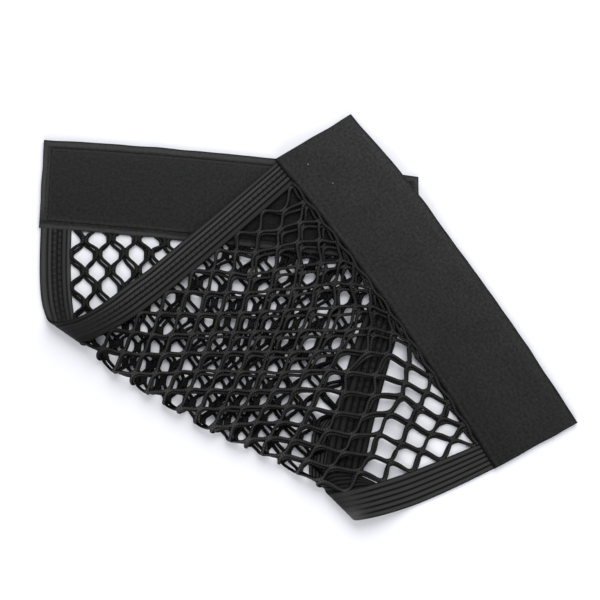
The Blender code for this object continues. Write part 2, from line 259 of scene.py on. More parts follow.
def gridFaces(rows, columns, first=0, turned=False):
    index = first + np.arange(rows * columns).reshape(rows, columns)
    quads = np.stack([index[:-1, :-1], index[1:, :-1], index[1:, 1:], index[:-1, 1:]], axis=-1)
    quads = quads.reshape(-1, 4)
    return (quads[:, ::-1] if turned else quads).tolist()


def skinPair(upper, lower, flatUpper, flatLower):
    # two matching grids closed into one sheet; upper's outside faces the viewer
    rows, columns = upper.shape[:2]
    count = rows * columns
    faces = gridFaces(rows, columns) + gridFaces(rows, columns, count, turned=True)
    rim = [(i, 0) for i in range(rows)]
    rim += [(rows - 1, j) for j in range(1, columns)]
    rim += [(i, columns - 1) for i in range(rows - 2, -1, -1)]
    rim += [(0, j) for j in range(columns - 2, 0, -1)]
    for (i, j), (k, m) in zip(rim, rim[1:] + rim[:1]):
        here, there = i * columns + j, k * columns + m
        faces.append((there, here, here + count, there + count))
    points = np.concatenate([upper.reshape(-1, 3), lower.reshape(-1, 3)])
    flat = np.concatenate([flatUpper.reshape(-1, 3), flatLower.reshape(-1, 3)])
    return points, faces, flat


def roundedSteps(length, inner, rim, turns=5):
    # steps along a side, close together where its edge is rounded
    arc = rim * (1 - np.cos(np.linspace(0, math.pi / 2, turns)))
    middle = np.linspace(rim, length - rim, inner)[1:-1]
    return np.concatenate([arc, middle, length - arc[::-1]])


def edgeRound(away, rim):
    # share of the full thickness at a distance from the edge
    t = np.clip(away / rim, 0, 1)
    return np.sqrt(np.clip(1 - (1 - t) ** 2, 0, 1)) * 0.94 + 0.06


class TubeBatch:
    # many closed tubes in one mesh
    def __init__(self, sides):
        self.sides = sides
        self.points, self.faces, self.flat = [], [], []
        self.count, self.added = 0, 0

    def add(self, path, normal, width, height, light=1.0):
        # light is given for the whole tube or at each step
        steps = len(path)
        along = np.gradient(path, axis=0)
        along /= np.linalg.norm(along, axis=1, keepdims=True)
        side = np.cross(along, normal)
        side /= np.linalg.norm(side, axis=1, keepdims=True)
        up = np.cross(side, along)
        turn = np.arange(self.sides) * 2 * math.pi / self.sides
        width = np.broadcast_to(width, steps)[:, None, None] / 2
        height = np.broadcast_to(height, steps)[:, None, None] / 2
        light = np.broadcast_to(light, steps)
        ring = (path[:, None] + side[:, None] * np.cos(turn)[None, :, None] * width
                + up[:, None] * np.sin(turn)[None, :, None] * height)
        self.points.append(ring.reshape(-1, 3))
        run = np.concatenate([[0], np.linalg.norm(np.diff(path, axis=0), axis=1).cumsum()])
        index = self.count + np.arange(steps * self.sides).reshape(steps, self.sides)
        around = np.roll(index, -1, axis=1)
        quads = np.stack([index[:-1], around[:-1], around[1:], index[1:]], axis=-1)
        self.faces.extend(quads.reshape(-1, 4).tolist())
        part = np.arange(self.sides) / self.sides
        low, high = part, part + 1 / self.sides
        run = run + 40.0 * self.added  # so that no two tubes wear the same marks
        self.added += 1
        grid = np.empty((steps - 1, self.sides, 4, 3))
        grid[:, :, 0, 2] = grid[:, :, 1, 2] = light[:-1, None]
        grid[:, :, 2, 2] = grid[:, :, 3, 2] = light[1:, None]
        grid[:, :, 0, 0] = grid[:, :, 1, 0] = run[:-1, None]
        grid[:, :, 2, 0] = grid[:, :, 3, 0] = run[1:, None]
        grid[:, :, 0, 1] = grid[:, :, 3, 1] = low[None]
        grid[:, :, 1, 1] = grid[:, :, 2, 1] = high[None]
        self.flat.append(grid.reshape(-1, 3))
        for end, order in ((index[0], -1), (index[-1], 1)):
            self.faces.append(end[::order].tolist())
            cap = np.zeros((self.sides, 3))
            cap[:, 1:] = (0.25, light[0])
            self.flat.append(cap)
        self.count += steps * self.sides

    def piece(self, name, material):
        return makePiece(name, np.concatenate(self.points), self.faces,
                         np.concatenate(self.flat), material, onCorners=True)


class Wire:
    # an output socket, with the sums that a surface is made of
    def __init__(self, shade, output):
        self.shade = shade
        self.output = output

    def sum(self, operation, first, second=0.0):
        return self.shade.add("Math", dict(operation=operation), {0: first, 1: second})

    def __add__(self, other):
        return self.sum("ADD", self, other)

    def __radd__(self, other):
        return self.sum("ADD", other, self)

    def __sub__(self, other):
        return self.sum("SUBTRACT", self, other)

    def __rsub__(self, other):
        return self.sum("SUBTRACT", other, self)

    def __mul__(self, other):
        return self.sum("MULTIPLY", self, other)

    def __rmul__(self, other):
        return self.sum("MULTIPLY", other, self)

    def __truediv__(self, other):
        return self.sum("DIVIDE", self, other)

    def __pow__(self, other):
        return self.sum("POWER", self, other)

    def __abs__(self):
        return self.sum("ABSOLUTE", self)

    def wave(self, turns=1.0):
        return self.sum("SINE", self * (2 * math.pi * turns))

    def between(self, low, high):
        # 0 below low, 1 above high, soft in between
        return self.shade.add("MapRange", dict(interpolation_type="SMOOTHSTEP"),
                              {"Value": self, "From Min": low, "From Max": high})


class Shade:
    # a material and the nodes that make it
    def __init__(self, name, roughness, **settings):
        self.material = bpy.data.materials.new(name)
        self.material.use_nodes = True
        self.tree = self.material.node_tree
        self.surface = self.tree.nodes["Principled BSDF"]
        self.surface.inputs["Roughness"].default_value = roughness
        for socket, value in settings.items():
            self.surface.inputs[socket.replace("_", " ")].default_value = value

    def add(self, kind, settings=None, sockets=None, take=0):
        made = self.tree.nodes.new("ShaderNode" + kind)
        for name, value in (settings or {}).items():
            setattr(made, name, value)
        for name, value in (sockets or {}).items():
            self.feed(made.inputs[name], value)
        return Wire(self, made.outputs[take])

    def feed(self, socket, value):
        if isinstance(value, Wire):
            self.tree.links.new(value.output, socket)
        else:
            socket.default_value = value

    def flat(self):
        # the places that the piece's mesh holds, as three numbers
        spot = self.add("Attribute", dict(attribute_name="flat"), take="Vector")
        first = self.add("SeparateXYZ", sockets={0: spot})
        return [Wire(self, output) for output in first.output.node.outputs]

    def vector(self, x, y, z=0.0):
        return self.add("CombineXYZ", sockets={0: x, 1: y, 2: z})

    def cloud(self, spot, scale, detail=2.0):
        return self.add("TexNoise", None, {"Vector": spot, "Scale": scale, "Detail": detail})

    def mix(self, share, first, second):
        return self.add("Mix", dict(data_type="RGBA"), {0: share, 6: first, 7: second}, take=2)

    def tint(self, colour, amount):
        # a colour made lighter or darker by a number that changes over the surface
        return self.add("VectorMath", dict(operation="SCALE"), {0: colour, "Scale": amount})

    def finish(self, colour=None, height=None, depth=0.001, roughness=None):
        if colour is not None:
            self.feed(self.surface.inputs["Base Color"], colour)
        if roughness is not None:
            self.feed(self.surface.inputs["Roughness"], roughness)
        if height is not None:
            bump = self.add("Bump", None, {"Strength": 1.0, "Distance": depth, "Height": height})
            self.feed(self.surface.inputs["Normal"], bump)
        return self.material


print("scene: making the materials")

wovenFinish = dict(
    colour=(0.0230, 0.0230, 0.0227), roughness=0.72, gloss=0.07,
    twillPitch=1.3, threadPitch=0.62, depth=0.00012, speckleSize=0.52, blotchSize=0.045,
    edgeShade=0.35, edgeWidth=0.8,
    # where each line of painted highlight and painted shade along the hem lies, its half width,
    # and how much lighter it is: round the far band by distance from its edge, on its hem at the
    # net and on the near band by depth
    farLines=((1.8, 2.0, 1.08), (4.4, 0.8, 0.50)),
    netEdgeLines=((59.8, 2.2, 0.70), (56.9, 2.0, -0.30)),
    nearLines=((0.9, 0.7, -0.34), (3.0, 6.0, 0.12), (53.7, 1.2, 0.11), (58.1, 1.1, 0.20),
               (61.2, 2.6, -0.42)),
    # painted light: the near band gets lighter towards its left end and its outer edge
    acrossSlope=(1.26, -0.0018), depthSlope=(1.16, -0.0054),
    # across, depth and size of the bits of lint on the near band
    lint=((12.8, 45.8, 0.7), (33.2, 40.8, 0.6), (15.0, 2.6, 0.4)), lintColour=(0.20, 0.20, 0.19, 1),
)


def wovenMaterial(name, outerFace):
    look = wovenFinish
    shade = Shade(name, look["roughness"], Specular_IOR_Level=look["gloss"])
    across, depth, away = shade.flat()
    spot = shade.vector(across, depth)
    twill = ((across * 0.72 + depth) / look["twillPitch"]).wave()
    thread = (across / look["threadPitch"]).wave() * (depth / look["threadPitch"]).wave()
    blotch = shade.cloud(spot, look["blotchSize"], 3.0) - 0.5
    speckle = shade.cloud(spot, look["speckleSize"], 3.0) - 0.5
    amount = 1.0 + blotch * 0.5 + speckle * 1.8 + twill * 0.16
    # painted highlights and painted shade along the hems and edges
    for at, width, gain in look["nearLines" if outerFace else "farLines"]:
        gap = abs((depth if outerFace else away) - at)
        line = (1 - gap.between(width * 0.3, width)) * gain
        amount = amount + (line if outerFace else line * (1 - depth.between(44, 58) * 0.85))
    edge = away.between(0.15, look["edgeWidth"])
    if not outerFace:
        # painted highlight and painted shade along the far band's hem at the net
        for at, width, gain in look["netEdgeLines"]:
            amount = amount + (1 - abs(depth - at).between(width * 0.2, width)) * gain
        edge = edge + (1 - edge) * depth.between(50, 58)
    amount = amount * (look["edgeShade"] + edge * (1 - look["edgeShade"]))
    if outerFace:
        # painted light, lighter towards the near band's left end and its outer edge
        (first, rate), (firstDeep, rateDeep) = look["acrossSlope"], look["depthSlope"]
        amount = amount * (first + across * rate) * (firstDeep + depth * rateDeep)
    colour = shade.tint(look["colour"], amount)
    if outerFace:
        for x, y, size in look["lint"]:
            gap = ((across - x) ** 2.0 + (depth - y) ** 2.0) ** 0.5
            colour = shade.mix(1 - gap.between(size * 0.35, size), colour, look["lintColour"])
    height = twill * 0.5 + thread * 0.5 + speckle * 1.2
    return shade.finish(colour, height, look["depth"], 0.66 + speckle * 0.25)


tapeFinish = dict(colour=(0.0280, 0.0280, 0.0280), hookColour=(0.0335, 0.0335, 0.0335),
                  roughness=0.8, hookRoughness=0.55, gloss=0.07, cell=1.2, speckleSize=0.5,
                  # coveredLight: painted shade where the upper layer covers the far tape
                  slope=0.0040, step=0.08, coveredLight=0.60)


def tapeMaterial():
    look = tapeFinish
    shade = Shade("hookTapeBase", look["roughness"], Specular_IOR_Level=look["gloss"])
    across, depth, light = shade.flat()
    spot = shade.vector(across, depth)
    cell = (across / look["cell"]).wave() * (depth / look["cell"]).wave()
    speckle = shade.cloud(spot, look["speckleSize"], 3.0) - 0.5
    # darker towards the net
    depthTone = 1.20 - depth * look["slope"] - depth.between(6, 14) * look["step"]
    colour = shade.tint(look["colour"], (depthTone + cell * 0.15 + speckle * 1.5) * light)
    return shade.finish(colour, cell + speckle, 0.00012)


def hookMaterial():
    look = tapeFinish
    shade = Shade("hookPlastic", look["hookRoughness"], Specular_IOR_Level=look["gloss"])
    across, depth, light = shade.flat()
    patch = shade.cloud(shade.vector(across, depth), look["speckleSize"], 2.0) - 0.5
    # darker towards the net
    depthTone = 1.12 - depth * look["slope"] + (1 - depth.between(6, 14)) * look["step"]
    colour = shade.tint(look["hookColour"], (depthTone + patch * 1.7) * light)
    return shade.finish(colour, patch, 0.00003, 0.5 + patch * 0.2)


elasticFinish = dict(
    colour=(0.0350, 0.0348, 0.0343), roughness=0.6, gloss=0.06, knitPitch=1.35,
    # the line that the zigzag presses: its pitch, between which parts of 20 it swings, and how
    # dark its painted shade is below and above the fold
    zigPitch=4.3, zigPlace=(7.5, 13.5), zigShade=dict(left=(0.80, 0.42), right=(0.50, 0.0)),
    # a painted highlight where the right strip turns over the fold
    foldHighlight=dict(part=3.0, along=168, wide=8, long=15, share=0.055, colour=(0.85, 0.83, 0.84, 1)),
)


def elasticMaterial(name, side, foldPlace):
    look = elasticFinish
    shade = Shade(name, look["roughness"], Specular_IOR_Level=look["gloss"])
    part, along, light = shade.flat()
    knit = (along / look["knitPitch"] + part * 0.55).wave()
    blotch = shade.cloud(shade.vector(part, along * 0.4), 0.12, 3.0) - 0.5
    speckle = shade.cloud(shade.vector(part, along), 1.6, 2.0) - 0.5
    amount = light * (1.0 + knit * 0.26 + blotch * 0.3 + speckle * 0.8)
    # the zigzag that holds the net on the other face presses a line into this one, drawn only as
    # painted shade
    low, high = look["zigPlace"]
    half = look["zigPitch"] / 2
    line = low + along.sum("PINGPONG", along, half) * ((high - low) / half)
    pressShade = 1 - (abs(part - line) * 0.34).between(0.12, 0.55)
    below, above = look["zigShade"][side]
    depth = (1 - along.between(foldPlace - 16, foldPlace - 5)) * below
    depth = depth + along.between(foldPlace + 12, foldPlace + 45) * above
    amount = amount * (1 - pressShade * depth)
    colour = shade.tint(look["colour"], amount)
    if side == "right":  # a painted highlight where the elastic turns over the fold
        foldHighlight = look["foldHighlight"]
        gap = ((part - foldHighlight["part"]) / foldHighlight["wide"]) ** 2.0
        gap = (gap + ((along - foldHighlight["along"]) / foldHighlight["long"]) ** 2.0) ** 0.5
        share = (1 - gap.between(0.0, 1.0)) * foldHighlight["share"]
        colour = shade.mix(share, colour, foldHighlight["colour"])
    return shade.finish(colour, knit * 0.6 + speckle, 0.00010, 0.55 + speckle * 0.3)


cordFinish = dict(colour=(0.0350, 0.0347, 0.0338), sideShade=0.05, roughness=0.7, gloss=0.05,
                  stitchPitch=1.7, girth=7.2, depth=0.00022)


def cordMaterial(name):
    look = cordFinish
    shade = Shade(name, look["roughness"], Specular_IOR_Level=look["gloss"])
    run, around, light = shade.flat()
    top = abs(around.wave())
    chain = (run / look["stitchPitch"] + abs(around.wave(2.0)) * 0.4).wave()
    spot = shade.vector(run, around * look["girth"])
    blotch = shade.cloud(spot, 0.11, 2.0) - 0.5
    fuzz = shade.cloud(spot, 1.4, 2.0) - 0.5
    # painted light on each cord's upper and lower faces and painted shade on its sides
    amount = look["sideShade"] + top.between(0.50, 1.0) * (1 - look["sideShade"])
    amount = amount * (1.0 + chain * 0.40 + blotch * 0.7 + fuzz * 1.2) * light
    colour = shade.tint(look["colour"], amount)
    return shade.finish(colour, chain + fuzz, look["depth"], 0.65 + fuzz * 0.2)


def threadMaterial(name, tone):
    shade = Shade(name, 0.6, Specular_IOR_Level=0.1)
    run, around, _ = shade.flat()
    twist = (run / 0.45 + around).wave()
    colour = shade.tint((tone, tone, tone * 0.98), 1.0 + twist * 0.25)
    return shade.finish(colour, twist, 0.00005)


wovenInner = wovenMaterial("wovenInner", False)
wovenOuter = wovenMaterial("wovenOuter", True)
tapeBase = tapeMaterial()
hookPlastic = hookMaterial()
elasticLeft = elasticMaterial("ribbedElasticLeft", "left", foldPlaces[0])
elasticRight = elasticMaterial("ribbedElasticRight", "right", foldPlaces[-1])
netCord = cordMaterial("netCord")
bandThread = threadMaterial("bandThread", 0.0215)
zigzagThread = threadMaterial("zigzagThread", 0.0130)


bandShape = dict(
    # from end to end, and from the outer to the inner edge
    spans=dict(far=(-0.8, 252.0), near=(-2.8, 251.8)),
    edges=dict(far=(-1.05, 60.9), near=(-0.35, 61.2)),
    thick=1.6, hemThick=0.55, hemWidth=3.9, hemStep=0.6, rim=0.75,
    waver=0.28, waverSize=17, waverReach=14, crumple=0.22, crumpleSize=24,
)
tapeShape = dict(length=240, width=50.6, start=5, thick=0.9, rim=0.35, gap=0.05)


def levelPiece(name, x, y, low, high, flat, material):
    # two grids over the same places, closed into one skin
    lower = np.stack([x, y, low], axis=-1)[:, ::-1]
    upper = np.stack([x, y, high], axis=-1)[:, ::-1]
    flat = np.stack(flat, axis=-1)[:, ::-1]
    return makePiece(name, *skinPair(upper, lower, flat, flat), material)


def bandPiece(name, lay, floor, hemUp, material):
    # hemUp is 1 where the hem is on the upper side and -1 where it is below
    shape = bandShape
    span = "far" if lay is farBand else "near"
    outer, inner = shape["edges"][span]
    width = inner - outer
    first, last = shape["spans"][span]
    across = first + roundedSteps(last - first, 150, shape["rim"])
    sides = []
    for extra in (-outer, inner - layPlan["bandWidth"]):
        hem = shape["hemWidth"] + extra
        sides.append(np.concatenate([
            shape["rim"] * (1 - np.cos(np.linspace(0, math.pi / 2, 5))),
            np.linspace(shape["rim"], hem - 0.2, 4)[1:],
            np.linspace(hem, hem + shape["hemStep"], 5),
            np.linspace(hem + shape["hemStep"], width / 2, 14)[1:],
        ]))
    depth = np.concatenate([sides[0], (width - sides[1][::-1])[1:]])
    a, d = np.meshgrid(across, depth, indexing="ij")
    away = np.minimum(np.minimum(a - first, last - a), np.minimum(d, width - d))
    d = d + outer
    beyond = np.where(d < 30, -outer, inner - layPlan["bandWidth"])
    fromHem = away - beyond * ease(away / 2) * (away > np.minimum(d - outer, inner - d) - 0.01)
    waverA = wander(a[:, :1], 0 * a[:, :1], shape["waverSize"], 3.1) * shape["waver"]
    waverD = wander(d[:1], 0 * d[:1], shape["waverSize"], 7.7) * shape["waver"]
    nearEdge = 1 - ease(away / shape["waverReach"])
    x, y = lay(a + waverD * nearEdge, d + waverA * nearEdge)
    low = floor(x, y)
    crumple = wander(a, d, shape["crumpleSize"], 1.3 + hemUp) * shape["crumple"] * ease(away / 10)
    hem = shape["hemThick"] * (1 - ease((fromHem - shape["hemWidth"]) / shape["hemStep"]))
    thick = shape["thick"] + hem
    middle = low + np.where(hemUp > 0, thick / 2, shape["thick"] - thick / 2)
    half = thick / 2 * edgeRound(away, shape["rim"])
    return levelPiece(name, x, y, np.maximum(middle - half, 0),
                      middle + half + crumple * (hemUp < 0), (a, d, fromHem), material)


def tapeLight(lay, x, y):
    # painted shade: the far tape and its hooks are darker where the upper layer covers them
    return dimmed(tapeFinish["coveredLight"], coveredShare(x, y) * (lay is farBand))


def tapePiece(name, lay, floor, material):
    shape = tapeShape
    across = roundedSteps(shape["length"], 122, shape["rim"], 3)
    depth = roundedSteps(shape["width"], 26, shape["rim"], 3)
    a, d = np.meshgrid(across, depth, indexing="ij")
    away = np.minimum(np.minimum(a, shape["length"] - a), np.minimum(d, shape["width"] - d))
    a = a + (layPlan["bandLength"] - shape["length"]) / 2
    d = d + shape["start"]
    x, y = lay(a, d)
    half = shape["thick"] / 2 * edgeRound(away, shape["rim"])
    middle = floor(x, y) + shape["thick"] / 2
    return levelPiece(name, x, y, middle - half, middle + half, (a, d, tapeLight(lay, x, y)),
                      material)


hookShape = dict(
    pitch=1.25, margin=1.6, height=1.0, lean=0.34, width=0.30, waver=0.12,
    # how far over, how high and how thick a hook is from its root to its tip
    stations=((0.0, 0.0, 1.0), (0.0, 0.62, 0.9), (0.55, 1.0, 0.8), (1.3, 0.72, 0.45)),
)


def hookField(name, lay, floor, up, size, material):
    # small bent hooks in staggered rows, each one three-sided; up is -1 where they point down
    shape, tape = hookShape, tapeShape
    step = shape["pitch"]
    across = np.arange(shape["margin"], tape["length"] - shape["margin"], step)
    depth = np.arange(shape["margin"], tape["width"] - shape["margin"], step)
    a, d = np.meshgrid(across, depth, indexing="ij")
    a = a + step / 2 * (np.arange(len(depth)) % 2)[None, :]
    a = a.ravel() + (layPlan["bandLength"] - tape["length"]) / 2
    d = d.ravel() + tape["start"]
    rng = np.random.default_rng(5)
    a = a + rng.uniform(-shape["waver"], shape["waver"], len(a))
    d = d + rng.uniform(-shape["waver"], shape["waver"], len(a))
    way = np.where((np.arange(len(a)) // len(depth)) % 2, 1.0, -1.0) * rng.uniform(0.7, 1.2, len(a))
    tall = up * size * shape["height"] * rng.uniform(0.85, 1.1, len(a))
    rings = []
    for reach, rise, thick in shape["stations"]:
        for angle in (0, 2 * math.pi / 3, 4 * math.pi / 3):
            half = shape["width"] / 2 * thick
            x, y = lay(a + way * reach * shape["lean"] + half * math.cos(angle),
                       d + half * math.sin(angle))
            rings.append(np.stack([x, y, floor(x, y) + tall * rise], axis=-1))
    points = np.stack(rings, axis=1)
    count, per = points.shape[:2]
    oneHook = []
    for ring in range(0, per - 3, 3):
        for k in range(3):
            m = (k + 1) % 3
            oneHook.append([ring + k, ring + m, ring + 3 + m, ring + 3 + k])
    oneHook += [[per - 3, per - 2, per - 1], [2, 1, 0]]
    base = np.arange(count)[:, None] * per
    faces = []
    for face in oneHook:
        faces.extend((base + np.array(face[::up])[None]).tolist())
    flat = np.stack([a, d, tapeLight(lay, *lay(a, d))], axis=-1)
    return makePiece(name, points.reshape(-1, 3), faces, np.repeat(flat, per, axis=0), material)


stitchShape = dict(length=2.6, step=3.3, thick=0.36, sink=0.16, inset=2.0, cuts=7)


def bandSeam(name, lay, height, material):
    # stitches round the tape, through the band
    shape, batch = stitchShape, TubeBatch(6)
    inset = tapeShape["start"] + shape["inset"]
    right, low = layPlan["bandLength"] - inset, layPlan["bandWidth"] - inset
    corners = [(inset, inset), (right, inset), (right, low), (inset, low)]
    offsets = np.linspace(-0.5, 0.5, shape["cuts"])
    hump = np.sqrt(np.clip(1 - (2 * offsets) ** 2, 0, 1))
    normal = np.tile([0.0, 0.0, 1.0], (shape["cuts"], 1))
    for (a0, d0), (a1, d1) in zip(corners, corners[1:] + corners[:1]):
        count = round(math.hypot(a1 - a0, d1 - d0) / shape["step"])
        for k in range(count):
            t = (k + 0.5 + offsets * shape["length"] / shape["step"]) / count
            x, y = lay(blend(a0, a1, t), blend(d0, d1, t))
            z = height(x, y) - shape["sink"] * 2 * (1 - hump)
            path = np.stack([x, y, z], axis=-1)
            batch.add(path, normal, shape["thick"], shape["thick"] * 0.8)
    return batch.piece(name, material)


def levelFace(height, rest=False):
    # the height of a level face over the floor, or over what the upper layer rests on
    return lambda x, y: (restHeight(x, y) if rest else 0 * x) + height


# how high each face lies: the far band's upper one, then the lower faces of the near tape and
# of the near band, and the root of the near hooks, which point down
farFace = bandShape["thick"] + tapeShape["gap"]
nearTape = 0.55
nearFace = tapeShape["thick"] + 0.6
nearHooks = 0.62

print("scene: bands and hook tapes")
bandFar = bandPiece("bandFarCloth", farBand, levelFace(0), 1, wovenInner)
bandNear = bandPiece("bandNearCloth", nearBand, levelFace(nearFace, True), -1, wovenOuter)
tapeFar = tapePiece("hookTapeFarBase", farBand, levelFace(farFace), tapeBase)
tapeNear = tapePiece("hookTapeNearBase", nearBand, levelFace(nearTape, True), tapeBase)
hooksFar = hookField("hookTapeFarHooks", farBand, levelFace(farFace + tapeShape["thick"] * 0.9),
                     1, 1.0, hookPlastic)
hooksNear = hookField("hookTapeNearHooks", nearBand, levelFace(nearHooks, True),
                      -1, 0.58, hookPlastic)
seamFar = bandSeam("bandFarStitches", farBand, levelFace(farFace + tapeShape["thick"]), bandThread)
seamNear = bandSeam("bandNearStitches", nearBand,
                    levelFace(nearFace + bandShape["thick"] - tapeShape["gap"], True), bandThread)


stripShape = dict(
    ribs=6, half=0.42, rib=0.44, lift=1.0, rim=0.5, step=1.1, into=2.5,
    turnReach=16, shadeReach=5,  # how far from the fold the grooves and the shade change over
    # where the cuts between ribs fall, as shares of a rib
    cuts=(0.0, 0.05, 0.12, 0.24, 0.42, 0.58, 0.76, 0.88, 0.95),
    # places of the grooves in parts of 20, and how light the ribs are: in the layer below
    # the fold, then above it
    grooves=dict(left=((0, 4.9, 7.9, 11.1, 13.9, 17.0, 20), (0, 3.0, 5.9, 9.2, 12.5, 15.9, 20)),
                 right=((0, 3.4, 6.7, 10.0, 13.2, 16.5, 20), (0, 3.4, 6.7, 10.0, 13.2, 16.5, 20))),
    ribLights=dict(left=((1.40, 1.28, 0.98, 0.78, 0.98, 1.52), (1.02, 1.45, 1.18, 1.16, 1.16, 0.72)),
                   right=((1.0, 1.0, 0.95, 0.95, 1.0, 1.1), (1.1, 1.12, 1.1, 1.08, 1.06, 1.0))),
    grooveLights=(0.22, 0.08),  # painted shade in the grooves, on the inner face and on the outer one
    # painted shade where the upper layer covers the lower strip
    coveredLight=0.68,
    # how deep the ribs are along the strip; they are drawn flat over the fold
    ribDepths=dict(left=((50, 1.0), (64, 0.6), (70, 0.25), (92, 0.25), (125, 1.0)),
                   right=((150, 1.0), (164, 0.3), (174, 0.3), (187, 1.0))),
    # painted shade: how light the upper layer is along the strip, darker near the fold
    overLights=dict(left=((74, 0.44), (84, 0.34), (94, 0.34), (104, 0.44), (118, 0.70), (130, 1.0)),
                    right=((150, 0.65), (170, 0.65), (180, 0.80), (192, 1.0))),
    # the outer and the inner edge at flat distances from the far band
    edges=dict(
        left=((0, 0.4, 21.0), (64, 0.4, 21.0), (84, -1.0, 19.4), (102, -2.6, 18.4),
              (113, -3.7, 18.4), (124, -4.5, 18.4), (135, -4.7, 18.4), (150, -4.1, 18.4),
              (180, -4.1, 18.4), (200, -3.5, 18.4), (222, -2.8, 18.6), (244, -2.0, 18.8),
              (262, -1.2, 19.0)),
        right=((0, 252.3, 229.5), (146, 252.3, 229.5), (166, 250.4, 232.3), (200, 250.5, 232.4),
               (264, 251.3, 233.0)),
    ),
)

# a pleat that the right strip throws round the fold, tucked under its inner edge: how light it
# is, painted lighter where it is covered and with painted shade where it lies low at the fold and
# in its grooves, how far it reaches and how much lower than the strip it lies
pleatShape = dict(
    ribs=5, half=0.30, rib=0.34, tuck=1.2, start=98, end=194, grooveLight=0.10,
    light=((98, 1.6), (152, 1.5), (166, 0.36), (184, 0.40), (194, 0.64)),
    reach=((98, 0.3), (108, 2), (116, 6), (124, 10), (145, 9.5), (158, 10.5), (172, 13.5),
           (184, 10), (194, 0.3)),
    drop=((98, -0.2), (148, -0.2), (164, 1.3), (182, 1.4), (194, 0.5)),
)


def ribGrid(ribs, along):
    # the cuts across so many ribs, at each distance along
    number = np.array([k + t for k in range(ribs) for t in stripShape["cuts"]] + [ribs], float)
    return np.meshgrid(number, along, indexing="ij")


def ribHeight(number):
    # 0 in a groove to 1 on a rib; number counts the ribs across the strip
    return np.clip(np.sin(math.pi * (number % 1)), 0, 1) ** 0.6


def stripSpan(side, along):
    # the outer and the inner edge of a strip at a flat distance from the far band
    return readTable(stripShape["edges"][side], along)


# painted shade in the grooves between ribs
def ribTone(rib, grooveLight):
    return blend(grooveLight, 1, ease((rib - 0.42) / 0.58))


def joined(parts):
    # several closed skins as one mesh
    points, faces, flats, count = [], [], [], 0
    for somePoints, someFaces, someFlat in parts:
        points.append(somePoints)
        flats.append(someFlat)
        faces.extend([tuple(count + corner for corner in face) for face in someFaces])
        count += len(somePoints)
    return np.concatenate(points), faces, np.concatenate(flats)


def pleatSkin():
    shape, strip = pleatShape, stripShape
    n, b = ribGrid(shape["ribs"], np.arange(shape["start"], shape["end"] + 0.1, strip["step"]))
    reach, drop, light = (readTable(shape[name], b)[0] for name in ("reach", "drop", "light"))
    a = stripSpan("right", b)[1] + shape["tuck"] - (reach + shape["tuck"]) * n / shape["ribs"]
    rib = ribHeight(n)
    away = reach * (1 - n / shape["ribs"])
    half = (shape["half"] + shape["rib"] * rib) * edgeRound(away, strip["rim"])
    light = light * ribTone(rib, shape["grooveLight"])
    flat = np.stack([layPlan["stripWidth"] + n, b, light], axis=-1)
    inner, _ = onCloth(a, b, strip["lift"], drop + half)
    outer, _ = onCloth(a, b, strip["lift"], drop - half)
    return skinPair(inner, outer, flat, flat)


def stripPiece(name, side, material):
    shape, width = stripShape, layPlan["stripWidth"]
    ribs, into = shape["ribs"], shape["into"]
    n, b = ribGrid(ribs, np.arange(-into, layPlan["netRun"] + into + 0.1, shape["step"]))
    edge = 0 if side == "left" else layPlan["bandLength"]
    above = overShare(edge, b, shape["turnReach"])
    part = blend(*(np.interp(n, range(ribs + 1), row) for row in shape["grooves"][side]), above)
    outerEdge, innerEdge = stripSpan(side, b)
    a = blend(outerEdge, innerEdge, part / width)
    away = np.minimum(part, width - part)
    deep = readTable(shape["ribDepths"][side], b)[0]
    if side == "left":  # the groove beside its outer rib stays deep
        deep = np.where(n < 1.5, np.maximum(deep, 0.8), deep)
    rib = 1 - deep * (1 - ribHeight(n))
    low, high = (np.interp(n, np.arange(ribs) + 0.5, row) for row in shape["ribLights"][side])
    # the upper layer takes the painted shade of overLights near the fold
    light = blend(low, high * readTable(shape["overLights"][side], b)[0], above)
    x, y, _ = np.moveaxis(place(np.clip(a, 0, layPlan["bandLength"]), b), -1, 0)
    # painted shade where the upper layer covers the lower strip
    covered = coveredShare(x, y) * (1 - overShare(edge, b, shape["shadeReach"]))
    light = light * dimmed(shape["coveredLight"], covered)
    flats = [np.stack([part, b, ribTone(rib, tone) * light], axis=-1)
             for tone in shape["grooveLights"]]
    rib = np.where(away < shape["rim"], np.maximum(rib, 0.5), rib)
    fade = 0.9 + 0.1 * wander(a, b * 0.3, 14, 5.0)
    half = (shape["half"] + shape["rib"] * rib * fade) * edgeRound(away, shape["rim"])
    inner, _ = onCloth(a, b, shape["lift"], half)
    outer, _ = onCloth(a, b, shape["lift"], -half)
    turn = -1 if side == "left" else 1
    skins = [skinPair(inner[::turn], outer[::turn], flats[0][::turn], flats[1][::turn])]
    if side == "right":
        skins.append(pleatSkin())
    return makePiece(name, *joined(skins), material)


zigzagShape = dict(middle=0.525, reach=3.0, pitch=4.3, thick=0.42, rise=0.80)


def zigzagSeam(name, side, material):
    # the net's edge is caught to the strip with zigzag stitches on the inner face
    shape, batch = zigzagShape, TubeBatch(5)
    along = np.arange(1.0, layPlan["netRun"] - 1, shape["pitch"] / 12)
    phase = (along / shape["pitch"]) % 1
    swing = (1 - 4 * np.abs(phase - 0.5)) * shape["reach"]
    across = blend(*stripSpan(side, along), shape["middle"] + swing / layPlan["stripWidth"])
    hump = 0.10 * np.cos(4 * math.pi * phase)
    path, normal = onCloth(across, along, stripShape["lift"], shape["rise"] + hump)
    batch.add(path, normal, shape["thick"], shape["thick"])
    return batch.piece(name, material)


print("scene: elastic strips")
stripLeft = stripPiece("elasticStripLeft", "left", elasticLeft)
stripRight = stripPiece("elasticStripRight", "right", elasticRight)
zigzagLeft = zigzagSeam("zigzagStitchesLeft", "left", zigzagThread)
zigzagRight = zigzagSeam("zigzagStitchesRight", "right", zigzagThread)


